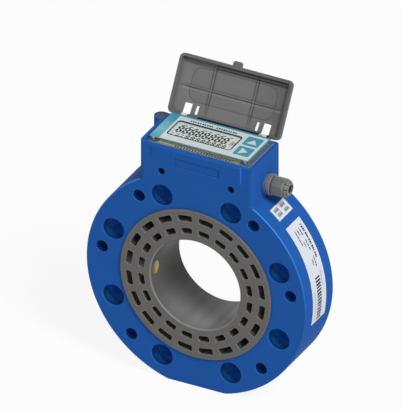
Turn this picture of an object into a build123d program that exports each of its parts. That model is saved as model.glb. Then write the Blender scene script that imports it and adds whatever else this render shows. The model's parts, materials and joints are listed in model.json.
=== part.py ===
from build123d import *
import os
from math import atan2, cos, degrees, radians, sin, sqrt

# Ultrasonic flow meter, wafer style, in millimetres.
# Origin: centre of the flow bore, half way between the two sealing faces.
# +X is to the right of the display, +Y runs along the bore away from the viewer, +Z is up.

# How far a cutting or joining body runs past the face it meets
past = 1.0

# Flow insert, a moulded ring that lines the bore
bore_radius = 40.0
inner_slot_wall = 6.0
inner_slot_height = 5.3
slot_ring_gap = 5.8
outer_slot_height = 5.5
insert_outer_wall = 4.65
insert_fit = 0.1
insert_proud = 1.4
bore_edge_chamfer = 0.8
insert_edge_chamfer = 0.5
slots_per_ring = 20
outer_slot_angle = 12.4
inner_slot_angle = 11.5
slot_web = 8.2

# Cast body: a thick disc with a flat foot
body_length = 47.4
bolt_hole_inner_wall = 3.75
bolt_centre_from_rim = 18.0
foot_cut = 3.8
rim_chamfer = 0.6

# Flange bolt holes
bolt_hole_diameter = 18.0
bolt_count = 8
bolt_hole_chamfer = 0.9

# Pairs of small through holes between the bolt holes
web_hole_diameter = 10.0
web_centre_from_rim = 13.0
web_hole_chamfer = 0.5
upper_web_angle = 53.0
side_web_angle = 8.0
lower_web_angle = -47.0

# Electronics housing on top of the disc, one casting with it, heights counted down from its top
housing_rise = 21.7
housing_root_depth = 60.9
housing_edge_radius = 3.6
housing_beside_lid = 0.6
front_bevel_height = 2.7
front_bevel_depth = 1.5
front_pad_margin = 2.7
pad_relief_below_top = 19.1
pad_relief_depth = 0.8
plate_recess_width = 41.0
plate_recess_height = 8.5
plate_recess_below_top = 8.2
plate_recess_depth = 0.6
seal_hole_diameter = 6.0
seal_hole_spacing = 62.0
seal_hole_below_top = 23.6
seal_hole_end_wall = 4.6

# Compartment for the electronics inside the housing
pocket_width = 74.0
pocket_front_wall = 6.6
pocket_rear_wall = 6.0
pocket_step_below_top = 19.7
pocket_thick_front_wall = 12.6
pocket_corner_radius = 2.0

# Side port on the left wall at the rear
port_radius = 5.65
port_wall_offset = 2.25
port_plug_radius = 4.7
port_plug_height = 4.0
port_plug_recess = 0.4
port_plug_fit = 0.1

# Ultrasonic transducers, one pair across the bore
transducer_behind_face = 9.9
pocket_boss_radius = 9.2
capsule_radius = 7.5
capsule_fit = 0.1
window_radius = 6.3
window_recess = 0.35
window_length = 6.0
window_chamfer = 0.5
window_shoulder = 1.6
seal_thickness = 0.8
capsule_length = 13.0
capsule_wall = 1.4
crystal_radius = 4.9
crystal_thickness = 1.2
wedge_middle_length = 2.6
lead_hole_radius = 2.0
retainer_hole_radius = 3.0
retainer_length = 3.8
retainer_slot_width = 2.0

# Display module: a clear cover over the compartment
cover_side_slope = 2.65
cover_front_gap = 2.4
cover_rear_gap = 1.9
cover_front_slope = 2.1
cover_rear_slope = 1.1
cover_height = 3.5
cover_plate = 1.0
cover_corner_radius = 1.6
cover_clearance = 0.3
gasket_width = 1.4
gasket_depth = 1.0
gasket_offset = 1.4
frame_wall = 1.5
frame_rise = 0.2
board_thickness = 0.8
display_side_cover = 1.45
display_front_margin = 2.8
display_rear_margin = 3.0
display_thickness = 0.9
spacer_strip_width = 3.0
display_rise = 0.5
header_pin_count = 20
header_pin_pitch = 2.54
header_pin_size = 0.9
header_pin_height = 1.0
header_centre_x = 4.0
header_edge_margin = 0.9
chip_size = 12.0
chip_height = 1.6

# Screws that hold the cover
screw_gasket_margin = 0.65
screw_side_wall = 1.4
cover_screw_inset = 4.1
screw_head_radius = 1.8
screw_head_height = 1.3
screw_shank_radius = 1.0
screw_length = 11.0
screw_hole_clearance = 0.15
screw_drive_radius = 0.9
screw_drive_depth = 0.7

# Printed film on the cover and its fields
film_thickness = 0.15
ink_thickness = 0.1
film_corner_radius = 1.2
window_corner_radius = 2.2
window_front_margin = 9.2
window_rear_margin = 8.9
window_key_gap = 4.1
frame_line_width = 0.9
silver_left_margin = 8.45
silver_window_margin = 2.8
silver_right_margin = 1.1
silver_front_margin = 0.9
silver_rear_margin = 2.2
key_width = 13.8
key_side_margin = 3.45
key_front_margin = 5.5
key_rear_margin = 4.8
key_gap = 2.3
key_corner_radius = 1.2
arrow_length = 6.8
arrow_width = 9.4
light_radius = 1.7
light_side_margin = 4.05
light_front_margin = 17.5
light_spacing = 6.0

# Power cell and capacitor in the compartment
cell_rear_gap = 2.3
cell_length = 50.0
cell_wall_gap = 0.5
cell_cap_radius = 3.2
cell_cap_length = 1.5
cell_edge_chamfer = 0.8
cell_floor_gap = 1.0
cell_top_gap = 5.3
capacitor_radius = 7.8
capacitor_end_gap = 1.4
cell_gap = 1.0
cradle_height = 9.0
cradle_fit = 0.1
cradle_inset = 1.0

# Lid, a ribbed tray on a snap hinge
lid_side_gap = 0.8
lid_front_overhang = 0.4
lid_height = 7.0
lid_wall = 2.4
lid_wall_depth = 3.5
lid_floor_depth = 5.3
lid_side_height = 3.9
lid_corner_radius = 4.2
lid_panel_side_margin = 12.6
lid_panel_end_margin = 10.6
lid_panel_offset = 2.2
lid_panel_corner_radius = 8.0
lid_top_margin = 1.0
lid_rib_x = 19.0
lid_rib_thickness = 1.0
lid_rib_depth = 4.0
lid_rim_gap = 0.25
lid_open_angle = 120.0
tab_width = 7.8
tab_reach = 4.0
tab_thickness = 2.6
tab_corner = 1.2
hinge_height = 1.8
hinge_behind_housing = 0.3
hinge_inset = 0.7
knuckle_radius = 1.5
hinge_pin_radius = 0.9
hinge_pin_fit = 0.05
hinge_pin_length = 2.4
hinge_pin_end_gap = 0.4
ear_inner_x = 32.2
ear_width = 5.6
ear_side_gap = 0.4
ear_outer_gap = 0.8
ear_slot_length = 10.6
knuckle_width = 3.6
slit_width = 2.6
slit_length = 7.0
slit_setback = 3.1

# Cable gland on the right wall
gland_above_rim = 1.634
gland_pad_radius = 9.8
gland_pad_height = 1.2
gland_thread_radius = 6.0
gland_thread_fit = 0.1
gland_thread_length = 12.0
stem_bore_radius = 4.0
cable_radius = 3.4
washer_thickness = 0.8
washer_inset = 0.4
collar_radius = 8.8
collar_chamfer = 0.5
collar_length = 4.3
nut_gap = 1.3
nut_flats = 15.1
nut_hex_length = 9.7
nut_neck_radius = 7.3
nut_fingers_length = 4.2
nut_nose_radius = 5.6
nut_nose_rounding = 0.8
nut_neck_share = 0.45
nut_end_room = 1.0
nut_wall = 1.4
nut_slit_count = 10
nut_slit_width = 0.8
nut_slit_start = 0.8
nut_slit_depth = 0.7
inner_thread_radius = 6.1
nut_thread_fit = 0.1
seal_sleeve_radius = 4.7
seal_sleeve_fit = 0.1
seal_seat_depth = 1.0
seal_end_gap = 0.6
nut_mouth_clearance = 0.5

# Foil labels on the right side of the rim
label_thickness = 0.2
label_seat_gap = 0.02
label_width = 22.5
label_setback = 12.5
large_label_start = -10.7
large_label_end = 41.3
small_label_start = 45.9
small_label_end = 52.7

# Places worked out from the sizes above
inner_slot_inner_radius = bore_radius + inner_slot_wall
inner_slot_outer_radius = inner_slot_inner_radius + inner_slot_height
outer_slot_inner_radius = inner_slot_outer_radius + slot_ring_gap
outer_slot_outer_radius = outer_slot_inner_radius + outer_slot_height
insert_radius = outer_slot_outer_radius + insert_outer_wall
bolt_circle_radius = insert_radius + bolt_hole_inner_wall + bolt_hole_diameter / 2
body_radius = bolt_circle_radius + bolt_centre_from_rim
web_hole_circle_radius = body_radius - web_centre_from_rim
foot_below_axis = body_radius - foot_cut
front_y = -body_length / 2
rear_y = body_length / 2
face_y = front_y - insert_proud
slot_depth = -face_y - slot_web / 2
transducer_setback = -face_y - transducer_behind_face
path_angle = degrees(atan2(transducer_setback, bore_radius))

pocket_front = front_y + pocket_front_wall
pocket_rear = rear_y - pocket_rear_wall
pocket_lower_front = front_y + pocket_thick_front_wall
pocket_middle_y = (pocket_front + pocket_rear) / 2
pocket_depth_y = pocket_rear - pocket_front
cell_radius = (pocket_rear - pocket_lower_front - cell_wall_gap - cell_rear_gap) / 2
frame_room = pocket_width - 2 * (cover_clearance + frame_wall)
capacitor_length = frame_room - 2 * cell_gap - cell_length - capacitor_end_gap
gasket_side = pocket_width / 2 + gasket_offset + gasket_width / 2
cover_screw_x = gasket_side + screw_gasket_margin + screw_hole_clearance + screw_shank_radius
cover_top_half_width = cover_screw_x + screw_head_radius + screw_hole_clearance + screw_side_wall
cover_base_right = cover_top_half_width + cover_side_slope
lid_width = 2 * (cover_base_right + lid_side_gap + lid_wall)
housing_width = round(lid_width + 2 * housing_beside_lid, 3)
housing_side = housing_width / 2
housing_top = body_radius + housing_rise
housing_root = round(housing_top - housing_root_depth, 3)
front_pad_width = pocket_width + 2 * front_pad_margin
pad_relief_start = housing_top - pad_relief_below_top
plate_recess_top = housing_top - plate_recess_below_top
seal_hole_height = housing_top - seal_hole_below_top
seal_hole_depth = pocket_thick_front_wall - seal_hole_end_wall
pocket_step_height = housing_top - pocket_step_below_top

cover_front = front_y + cover_front_gap
cover_rear = rear_y - cover_rear_gap
cover_top_front = cover_front + cover_front_slope
cover_top_rear = cover_rear - cover_rear_slope
cover_top = housing_top + cover_height
cover_ceiling = cover_top - cover_plate
board_width = pocket_width - 2 * cover_clearance
board_depth = pocket_depth_y - 2 * cover_clearance
board_bottom = housing_top + frame_rise
board_top = board_bottom + board_thickness
pocket_floor = board_bottom - chip_height - cell_top_gap - 2 * cell_radius - cell_floor_gap
board_front = pocket_middle_y - board_depth / 2
film_top = cover_top + film_thickness
ink_top = film_top + ink_thickness
key_right = cover_top_half_width - key_side_margin
key_left = key_right - key_width
lower_key_front = cover_top_front + key_front_margin
upper_key_back = cover_top_rear - key_rear_margin
key_length = (upper_key_back - lower_key_front - key_gap) / 2
silver_left = silver_left_margin - cover_top_half_width
window_left = silver_left + silver_window_margin
window_right = key_left - window_key_gap
window_front = cover_top_front + window_front_margin
window_back = cover_top_rear - window_rear_margin
display_left = window_left - display_side_cover
display_right = window_right + display_side_cover
light_x = light_side_margin - cover_top_half_width

lid_rim_z = housing_top + lid_rim_gap
hinge_y = rear_y + hinge_behind_housing
hinge_z = housing_top + hinge_height
lid_rear = hinge_y + hinge_inset
lid_front = front_y - lid_front_overhang
lid_length = lid_rear - lid_front
lid_middle_y = (lid_rear + lid_front) / 2
lid_panel_width = lid_width - 2 * lid_panel_side_margin
lid_panel_length = lid_length - 2 * lid_panel_end_margin
rim_beside_housing = sqrt(body_radius ** 2 - housing_side ** 2)
gland_y = (front_y + rear_y) / 2
gland_height = round(rim_beside_housing + gland_above_rim + gland_pad_radius, 3)
wall_pad_x = housing_side + gland_pad_height
port_x = -housing_side - port_wall_offset
port_y = rear_y - port_radius


def block(x_low, x_high, y_low, y_high, z_low, z_high):
    # A plain box between two corners
    size = (x_high - x_low, y_high - y_low, z_high - z_low)
    middle = ((x_high + x_low) / 2, (y_high + y_low) / 2, (z_high + z_low) / 2)
    return Pos(*middle) * Box(*size)


def rod_y(radius, y_low, y_high, x=0.0, z=0.0):
    # A cylinder along Y
    middle = (x, (y_low + y_high) / 2, z)
    return Pos(*middle) * Rot(90, 0, 0) * Cylinder(radius, y_high - y_low)


def rod_x(radius, x_low, x_high, y=0.0, z=0.0):
    # A cylinder along X
    middle = ((x_low + x_high) / 2, y, z)
    return Pos(*middle) * Rot(0, 90, 0) * Cylinder(radius, x_high - x_low)


def rod_z(radius, z_low, z_high, x=0.0, y=0.0):
    # A cylinder along Z
    middle = (x, y, (z_low + z_high) / 2)
    return Pos(*middle) * Cylinder(radius, z_high - z_low)


def turned_x(outline, y=0.0, z=0.0):
    # A body of revolution about an axis along X, from (x, radius) points
    profile = make_face(Polyline([(x, radius, 0) for x, radius in outline], close=True))
    return Pos(0, y, z) * revolve(profile, Axis.X)


def turned_y(outline):
    # A body of revolution about the bore axis, from (radius, y) points
    profile = make_face(Polyline([(radius, y, 0) for radius, y in outline], close=True))
    return revolve(profile, Axis.Y)


def slab(width, depth, corner, z_low, z_high, y_middle, x_middle=0.0):
    # An upright plate with rounded corners
    outline = RectangleRounded(width, depth, corner)
    return Pos(x_middle, y_middle, z_low) * extrude(outline, amount=z_high - z_low)


def polar(radius, angle):
    # A point on the plane of the flange face, the angle is counted from +X towards +Z
    return radius * cos(radians(angle)), radius * sin(radians(angle))


def bolt_places():
    # Centres of the flange holes, which straddle the vertical centre line
    step = 360 / bolt_count
    return [polar(bolt_circle_radius, step * (index + 0.5)) for index in range(bolt_count)]


def web_places():
    # Centres of the small holes, in pairs on both sides of the vertical plane
    angles = []
    for angle in (upper_web_angle, side_web_angle, lower_web_angle):
        angles += [angle, 180 - angle]
    return [polar(web_hole_circle_radius, angle) for angle in angles]


def through_hole(radius, chamfer, x, z):
    # A hole along Y through the disc with a chamfered edge on both faces
    wide = radius + chamfer
    outline = [(0, front_y - past), (wide, front_y - past), (wide, front_y), (radius, front_y + chamfer)]
    outline += [(radius, rear_y - chamfer), (wide, rear_y), (wide, rear_y + past), (0, rear_y + past)]
    return Pos(x, 0, z) * turned_y(outline)


# Cast body

def disc():
    c = rim_chamfer
    outline = [(0, front_y), (body_radius - c, front_y), (body_radius, front_y + c)]
    outline += [(body_radius, rear_y - c), (body_radius - c, rear_y), (0, rear_y)]
    shape = turned_y(outline)
    below = block(-body_radius, body_radius, front_y - past, rear_y + past,
                  -body_radius - past, -foot_below_axis)
    return shape - below


def housing_block():
    shape = slab(housing_width, body_length, housing_edge_radius, housing_root, housing_top, 0)
    shape += rod_z(port_radius, housing_root, housing_top, port_x, port_y)
    shape += block(port_x, -housing_side + past, port_y, rear_y, housing_root, housing_top)
    shape += rod_x(gland_pad_radius, housing_side - past, wall_pad_x, gland_y, gland_height)
    return shape


def front_bevel():
    # The slanted edge along the top of the front wall
    low = housing_top - front_bevel_height
    high = housing_top + past
    run = front_bevel_depth * (high - low) / front_bevel_height
    points = [(front_y, low), (front_y + run, high), (front_y - past, high), (front_y - past, low)]
    profile = Plane.YZ.offset(-housing_side - past) * make_face(Polyline(points, close=True))
    return extrude(profile, amount=2 * (housing_side + past))


def pad_relief(side):
    # The wall falls back a little on each side of the middle pad, fading out lower down
    start = front_pad_width / 2
    reach = housing_top + past - pad_relief_start
    depth = pad_relief_depth * reach / (housing_top - pad_relief_start)
    points = [(front_y, pad_relief_start), (front_y + depth, housing_top + past)]
    points += [(front_y - past, housing_top + past), (front_y - past, pad_relief_start)]
    profile = Plane.YZ.offset(start) * make_face(Polyline(points, close=True))
    wedge = extrude(profile, amount=housing_side - start + past)
    return wedge if side > 0 else mirror(wedge, about=Plane.YZ)


def compartment():
    # Upper part, then a narrower lower part behind a thick front wall
    upper = slab(pocket_width, pocket_depth_y, pocket_corner_radius,
                 pocket_step_height, housing_top + past, pocket_middle_y)
    lower_depth = pocket_rear - pocket_lower_front
    lower = slab(pocket_width, lower_depth, pocket_corner_radius,
                 pocket_floor, pocket_step_height + past, (pocket_lower_front + pocket_rear) / 2)
    return upper + lower


def gasket_ring(z_low, z_high):
    # The seal path around the mouth of the compartment
    centre_x = pocket_width / 2 + gasket_offset
    centre_y = pocket_depth_y / 2 + gasket_offset
    half = gasket_width / 2
    corner = pocket_corner_radius + gasket_offset
    outer = slab(2 * (centre_x + half), 2 * (centre_y + half), corner + half,
                 z_low, z_high, pocket_middle_y)
    inner = slab(2 * (centre_x - half), 2 * (centre_y - half), corner - half,
                 z_low, z_high, pocket_middle_y)
    return outer - inner


def cover_screw_places():
    places = []
    for x in (-cover_screw_x, cover_screw_x):
        places += [(x, cover_front + cover_screw_inset), (x, cover_rear - cover_screw_inset)]
    return places


def meter_body():
    body = disc() + housing_block()
    body -= rod_y(insert_radius + insert_fit, front_y - past, rear_y + past)
    for x, z in bolt_places():
        body -= through_hole(bolt_hole_diameter / 2, bolt_hole_chamfer, x, z)
    for x, z in web_places():
        body -= through_hole(web_hole_diameter / 2, web_hole_chamfer, x, z)
    for x in (-seal_hole_spacing / 2, seal_hole_spacing / 2):
        body -= rod_y(seal_hole_diameter / 2, front_y - past, front_y + seal_hole_depth,
                      x, seal_hole_height)
    body -= front_bevel()
    body -= pad_relief(-1) + pad_relief(1)
    half_plate = plate_recess_width / 2
    body -= block(-half_plate, half_plate, front_y - past, front_y + plate_recess_depth,
                  plate_recess_top - plate_recess_height, plate_recess_top)
    body -= compartment()
    body -= gasket_ring(housing_top - gasket_depth, housing_top + past)
    screw_tip = cover_top - screw_head_height - screw_length
    for x, y in cover_screw_places():
        body -= rod_z(screw_shank_radius + screw_hole_clearance, screw_tip - past, housing_top + past, x, y)
    body -= rod_x(gland_thread_radius + gland_thread_fit, pocket_width / 2 - past, wall_pad_x + past,
                  gland_y, gland_height)
    plug_bottom = housing_top - port_plug_recess - port_plug_height
    body -= rod_z(port_plug_radius + port_plug_fit, plug_bottom, housing_top + past, port_x, port_y)
    return body


def port_plug():
    top = housing_top - port_plug_recess
    return rod_z(port_plug_radius, top - port_plug_height, top, port_x, port_y)


# Flow insert

def ring_slot(inner_radius, outer_radius, width_angle, middle_angle):
    # One sector shaped slot, drawn on the plane of the face
    start = middle_angle - width_angle / 2
    end = middle_angle + width_angle / 2
    outer_arc = ThreePointArc(polar(outer_radius, start), polar(outer_radius, middle_angle),
                              polar(outer_radius, end))
    inner_arc = ThreePointArc(polar(inner_radius, end), polar(inner_radius, middle_angle),
                              polar(inner_radius, start))
    first_side = Line(outer_arc @ 1, inner_arc @ 0)
    last_side = Line(inner_arc @ 1, outer_arc @ 0)
    return make_face([outer_arc, first_side, inner_arc, last_side])


def slot_rings():
    # Two rings of slots, every slot centred half a step away from the horizontal
    step = 360 / slots_per_ring
    faces = []
    for index in range(slots_per_ring):
        middle = step * (index + 0.5)
        faces.append(ring_slot(outer_slot_inner_radius, outer_slot_outer_radius,
                               outer_slot_angle, middle))
        faces.append(ring_slot(inner_slot_inner_radius, inner_slot_outer_radius,
                               inner_slot_angle, middle))
    drawn = Plane((0, face_y, 0), x_dir=(1, 0, 0), z_dir=(0, -1, 0))
    front = Part() + [extrude(drawn * face, amount=-slot_depth) for face in faces]
    return front


def transducer_boss():
    # Solid plastic left around the front transducer, on the left of the bore
    return rod_x(pocket_boss_radius, -insert_radius, -bore_radius, -transducer_setback, 0)


def transducer_pocket():
    seat = bore_radius + window_recess + window_length
    narrow = rod_x(window_radius + capsule_fit, -seat - past, -bore_radius + pocket_boss_radius,
                   -transducer_setback, 0)
    wide = rod_x(capsule_radius + capsule_fit, -insert_radius - past, -seat, -transducer_setback, 0)
    return narrow + wide


def other_side(shape):
    # The matching place at the far end of the sound path
    return Rot(0, 0, 180) * shape


def flow_insert():
    c = bore_edge_chamfer
    e = insert_edge_chamfer
    far = -face_y
    outline = [(bore_radius, face_y + c), (bore_radius + c, face_y), (insert_radius - e, face_y)]
    outline += [(insert_radius, face_y + e), (insert_radius, far - e), (insert_radius - e, far)]
    outline += [(bore_radius + c, far), (bore_radius, far - c)]
    ring = turned_y(outline)
    front_slots = slot_rings() - transducer_boss()
    ring -= front_slots
    ring -= other_side(front_slots)
    ring -= transducer_pocket()
    ring -= other_side(transducer_pocket())
    return ring


# Transducers, drawn at the front on the left

def transducer_window():
    # Epoxy nose whose back is cut to the angle of the sound path
    tip = bore_radius + window_recess
    seat = tip + window_length + seal_thickness
    back = seat + window_shoulder
    stem = capsule_radius - capsule_wall - capsule_fit
    c = window_chamfer
    outline = [(-tip, 0), (-tip, window_radius - c), (-tip - c, window_radius), (-seat, window_radius)]
    outline += [(-seat, capsule_radius), (-back, capsule_radius), (-back, stem)]
    outline += [(-back - 2 * wedge_middle_length, stem), (-back - 2 * wedge_middle_length, 0)]
    nose = turned_x(outline, -transducer_setback, 0)
    return nose - behind_wedge(back + wedge_middle_length)


def behind_wedge(distance):
    # Everything behind the slanted back of the nose
    centre = Pos(-distance, -transducer_setback, 0) * Rot(0, 0, path_angle)
    reach = 4 * capsule_radius
    return centre * Pos(-reach / 2, 0, 0) * Box(reach, reach, reach)


def transducer_crystal():
    back = bore_radius + window_recess + window_length + seal_thickness + window_shoulder
    centre = Pos(-back - wedge_middle_length, -transducer_setback, 0) * Rot(0, 0, path_angle)
    return centre * rod_x(crystal_radius, -crystal_thickness, 0)


def transducer_seal():
    seat = bore_radius + window_recess + window_length
    ring = rod_x(capsule_radius, -seat - seal_thickness, -seat, -transducer_setback, 0)
    inner = rod_x(window_radius + capsule_fit, -seat - seal_thickness, -seat, -transducer_setback, 0)
    return ring - inner


def capsule_start():
    return bore_radius + window_recess + window_length + seal_thickness + window_shoulder


def transducer_capsule():
    start = capsule_start()
    end = start + capsule_length
    inner = capsule_radius - capsule_wall
    outline = [(-start, inner), (-start, capsule_radius), (-end, capsule_radius)]
    outline += [(-end, lead_hole_radius), (-end + capsule_wall, lead_hole_radius)]
    outline += [(-end + capsule_wall, inner)]
    return turned_x(outline, -transducer_setback, 0)


def transducer_retainer():
    # Threaded ring that closes the pocket behind the capsule
    start = capsule_start() + capsule_length
    end = start + retainer_length
    ring = rod_x(capsule_radius, -end, -start, -transducer_setback, 0)
    ring -= rod_x(retainer_hole_radius, -end, -start, -transducer_setback, 0)
    half = retainer_slot_width / 2
    middle = (start + end) / 2
    ring -= block(-end - past, -middle, -transducer_setback - half, -transducer_setback + half,
                  -capsule_radius - past, capsule_radius + past)
    return ring


# Display module

def cover_shell():
    # Clear cover, sloped at the front, the right and the rear, upright on the left
    top_width = 2 * cover_top_half_width
    base_width = top_width + cover_side_slope
    base_depth = cover_rear - cover_front
    top_depth = cover_top_rear - cover_top_front
    base_middle = (cover_rear + cover_front) / 2
    top_middle = (cover_top_rear + cover_top_front) / 2
    base_outline = RectangleRounded(base_width, base_depth, cover_corner_radius)
    top_outline = RectangleRounded(top_width, top_depth, cover_corner_radius)
    base = Pos(cover_side_slope / 2, base_middle, housing_top) * base_outline
    top = Pos(0, top_middle, cover_top) * top_outline
    return loft([base, top], ruled=True)


def hinge_ear(side):
    # Lug behind the cover with a blind hole for the lid's pin
    root_y = cover_top_rear - past
    low = housing_top + lid_rim_gap
    points = [(root_y, low), (hinge_y, hinge_z - knuckle_radius), (hinge_y, hinge_z + knuckle_radius)]
    points += [(cover_top_rear, cover_top), (root_y, cover_top)]
    profile = Plane.YZ.offset(ear_inner_x) * make_face(Polyline(points, close=True))
    ear = extrude(profile, amount=ear_width)
    ear += rod_x(knuckle_radius, ear_inner_x, ear_inner_x + ear_width, hinge_y, hinge_z)
    hole_end = ear_inner_x - ear_side_gap + hinge_pin_length + hinge_pin_end_gap
    ear -= rod_x(hinge_pin_radius + hinge_pin_fit, ear_inner_x - past, hole_end, hinge_y, hinge_z)
    return ear if side > 0 else mirror(ear, about=Plane.YZ)


def module_cover():
    cover = cover_shell()
    cover += hinge_ear(-1)
    cover += hinge_ear(1)
    cover -= slab(pocket_width, pocket_depth_y, pocket_corner_radius,
                  housing_top - past, cover_ceiling, pocket_middle_y)
    for x, y in cover_screw_places():
        seat = cover_top - screw_head_height
        cover -= rod_z(screw_shank_radius + screw_hole_clearance, housing_top - past, cover_top, x, y)
        cover -= rod_z(screw_head_radius + screw_hole_clearance, seat, cover_top + past, x, y)
    return cover


def cover_screws():
    # Four screws, hidden under the film
    screws = Part()
    for x, y in cover_screw_places():
        seat = cover_top - screw_head_height
        screw = rod_z(screw_head_radius, seat, cover_top, x, y)
        screw += rod_z(screw_shank_radius, seat - screw_length, seat, x, y)
        drive = RegularPolygon(screw_drive_radius, 6)
        screw -= Pos(x, y, cover_top - screw_drive_depth) * extrude(drive, amount=screw_drive_depth)
        screws += screw
    return screws


def module_frame():
    # Sleeve that stands on the step of the compartment and carries the board
    width = pocket_width - 2 * cover_clearance
    depth = pocket_depth_y - 2 * cover_clearance
    corner = pocket_corner_radius - cover_clearance
    outer = slab(width, depth, corner, pocket_step_height, board_bottom, pocket_middle_y)
    inner = slab(width - 2 * frame_wall, depth - 2 * frame_wall, corner - frame_wall / 2,
                 pocket_step_height, board_bottom, pocket_middle_y)
    return outer - inner


def circuit_board():
    corner = pocket_corner_radius - cover_clearance
    board = slab(board_width, board_depth, corner, board_bottom, board_top, pocket_middle_y)
    return board


def board_chip():
    half = chip_size / 2
    return block(-half, half, pocket_middle_y - half, pocket_middle_y + half,
                 board_bottom - chip_height, board_bottom)


def header_pins():
    # Row of contact pins along the front edge of the board
    row = Part()
    y = board_front + header_edge_margin
    first = header_centre_x - header_pin_pitch * (header_pin_count - 1) / 2
    half = header_pin_size / 2
    for index in range(header_pin_count):
        x = first + header_pin_pitch * index
        row += block(x - half, x + half, y - half / 2, y + half / 2,
                     board_top, board_top + header_pin_height)
    return row


def display_glass():
    front = board_front + display_front_margin
    back = board_front + board_depth - display_rear_margin
    low = board_top + display_rise
    return block(display_left, display_right, front, back, low, low + display_thickness)


def display_spacer():
    # Foam strip frame under the glass that carries it on the board
    front = board_front + display_front_margin
    back = board_front + board_depth - display_rear_margin
    strip = block(display_left, display_right, front, back, board_top, board_top + display_rise)
    strip_width = spacer_strip_width
    hollow = block(display_left + strip_width, display_right - strip_width,
                   front + strip_width, back - strip_width, board_top, board_top + display_rise)
    return strip - hollow


def film_field(left, right, front, back, corner, z_low, z_high):
    # A field of the film between four edges
    return slab(right - left, back - front, corner, z_low, z_high, (front + back) / 2, (left + right) / 2)


def label_film():
    depth = cover_top_rear - cover_top_front
    middle = (cover_top_rear + cover_top_front) / 2
    film = slab(2 * cover_top_half_width, depth, film_corner_radius, cover_top, film_top, middle)
    film -= film_field(window_left, window_right, window_front, window_back, window_corner_radius,
                       cover_top - past, film_top + past)
    return film


def silver_field():
    right = cover_top_half_width - silver_right_margin
    front = cover_top_front + silver_front_margin
    back = cover_top_rear - silver_rear_margin
    field = film_field(silver_left, right, front, back, film_corner_radius / 2, film_top, ink_top)
    line = frame_line_width
    field -= film_field(window_left - line, window_right + line, window_front - line, window_back + line,
                        window_corner_radius + line, film_top, ink_top)
    for key_front in (lower_key_front, upper_key_back - key_length):
        field -= film_field(key_left, key_right, key_front, key_front + key_length, key_corner_radius,
                            film_top, ink_top)
    return field


def window_outline():
    # Dark line printed around the display window
    line = frame_line_width
    ring = film_field(window_left - line, window_right + line, window_front - line, window_back + line,
                      window_corner_radius + line, film_top, ink_top)
    ring -= film_field(window_left, window_right, window_front, window_back, window_corner_radius,
                       film_top, ink_top)
    return ring


def arrow(turn):
    # Triangle of a key, pointing to the rear before it is turned
    half = arrow_width / 2
    points = [(-half, -arrow_length / 2), (half, -arrow_length / 2), (0, arrow_length / 2)]
    return Rot(0, 0, turn) * make_face(Polyline(points, close=True))


def key_field(key_front, turn):
    # A touch key with the arrow left open for its own ink
    pad = film_field(key_left, key_right, key_front, key_front + key_length, key_corner_radius,
                     film_top, ink_top)
    return pad - key_arrow(key_front, turn)


def key_arrow(key_front, turn):
    middle = ((key_left + key_right) / 2, key_front + key_length / 2, film_top)
    return Pos(*middle) * extrude(arrow(turn), amount=ink_thickness)


def optical_lights():
    lights = Part()
    front = cover_top_front + light_front_margin
    for y in (front, front + light_spacing):
        lights += rod_z(light_radius, film_top, ink_top, light_x, y)
    return lights


# Power supply in the compartment

def cell_place():
    # Axis of the power cell: x start, y and z
    y = pocket_lower_front + cell_wall_gap + cell_radius
    z = pocket_floor + cell_floor_gap + cell_radius
    return -pocket_width / 2 + cover_clearance + frame_wall + cell_gap, y, z


def power_cell():
    start, y, z = cell_place()
    can_end = start + cell_length - cell_cap_length
    c = cell_edge_chamfer
    outline = [(start, 0), (start, cell_radius - c), (start + c, cell_radius), (can_end - c, cell_radius)]
    outline += [(can_end, cell_radius - c), (can_end, cell_cap_radius)]
    outline += [(start + cell_length, cell_cap_radius), (start + cell_length, 0)]
    return turned_x(outline, y, z)


def capacitor_place():
    start, y, z = cell_place()
    return start + cell_length + cell_gap, y, pocket_floor + cell_floor_gap + capacitor_radius


def pulse_capacitor():
    start, y, z = capacitor_place()
    return rod_x(capacitor_radius, start, start + capacitor_length, y, z)


def cell_cradle():
    # Block with two saddles on the floor of the compartment
    start, y, z = cell_place()
    capacitor_start, capacitor_y, capacitor_z = capacitor_place()
    half = cell_radius - cradle_inset
    cradle = block(start, capacitor_start + capacitor_length, y - half, y + half,
                   pocket_floor, pocket_floor + cradle_height)
    cradle -= rod_x(cell_radius + cradle_fit, start - past, capacitor_start - cell_gap / 2, y, z)
    cradle -= rod_x(capacitor_radius + cradle_fit, capacitor_start - cell_gap / 2,
                    capacitor_start + capacitor_length + past, capacitor_y, capacitor_z)
    return cradle


# Lid, drawn shut and then turned to its open rest pose

def lid_layer(width, length, corner, height, forward=0.0):
    return Pos(0, lid_middle_y - forward, lid_rim_z + height) * RectangleRounded(width, length, corner)


def lid_outside():
    # Upright side walls and a shallow crown that leads up to the middle panel
    width = lid_panel_width + 2 * lid_top_margin
    length = lid_panel_length + 2 * lid_top_margin
    corner = lid_panel_corner_radius + lid_top_margin
    side = extrude(lid_layer(lid_width, lid_length, lid_corner_radius, 0), amount=lid_side_height)
    crown = loft([lid_layer(lid_width, lid_length, lid_corner_radius, lid_side_height),
                  lid_layer(width, length, corner, lid_height, lid_panel_offset)], ruled=True)
    return side + crown


def lid_hollow():
    # The space inside the walls and the dish below the panel
    width = lid_width - 2 * lid_wall
    length = lid_length - 2 * lid_wall
    corner = lid_corner_radius - lid_wall
    well = extrude(lid_layer(width, length, corner, 0), amount=lid_wall_depth)
    dish = loft([lid_layer(width, length, corner, lid_wall_depth),
                 lid_layer(lid_panel_width, lid_panel_length, lid_panel_corner_radius,
                           lid_floor_depth, lid_panel_offset)], ruled=True)
    return well + dish


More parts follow.
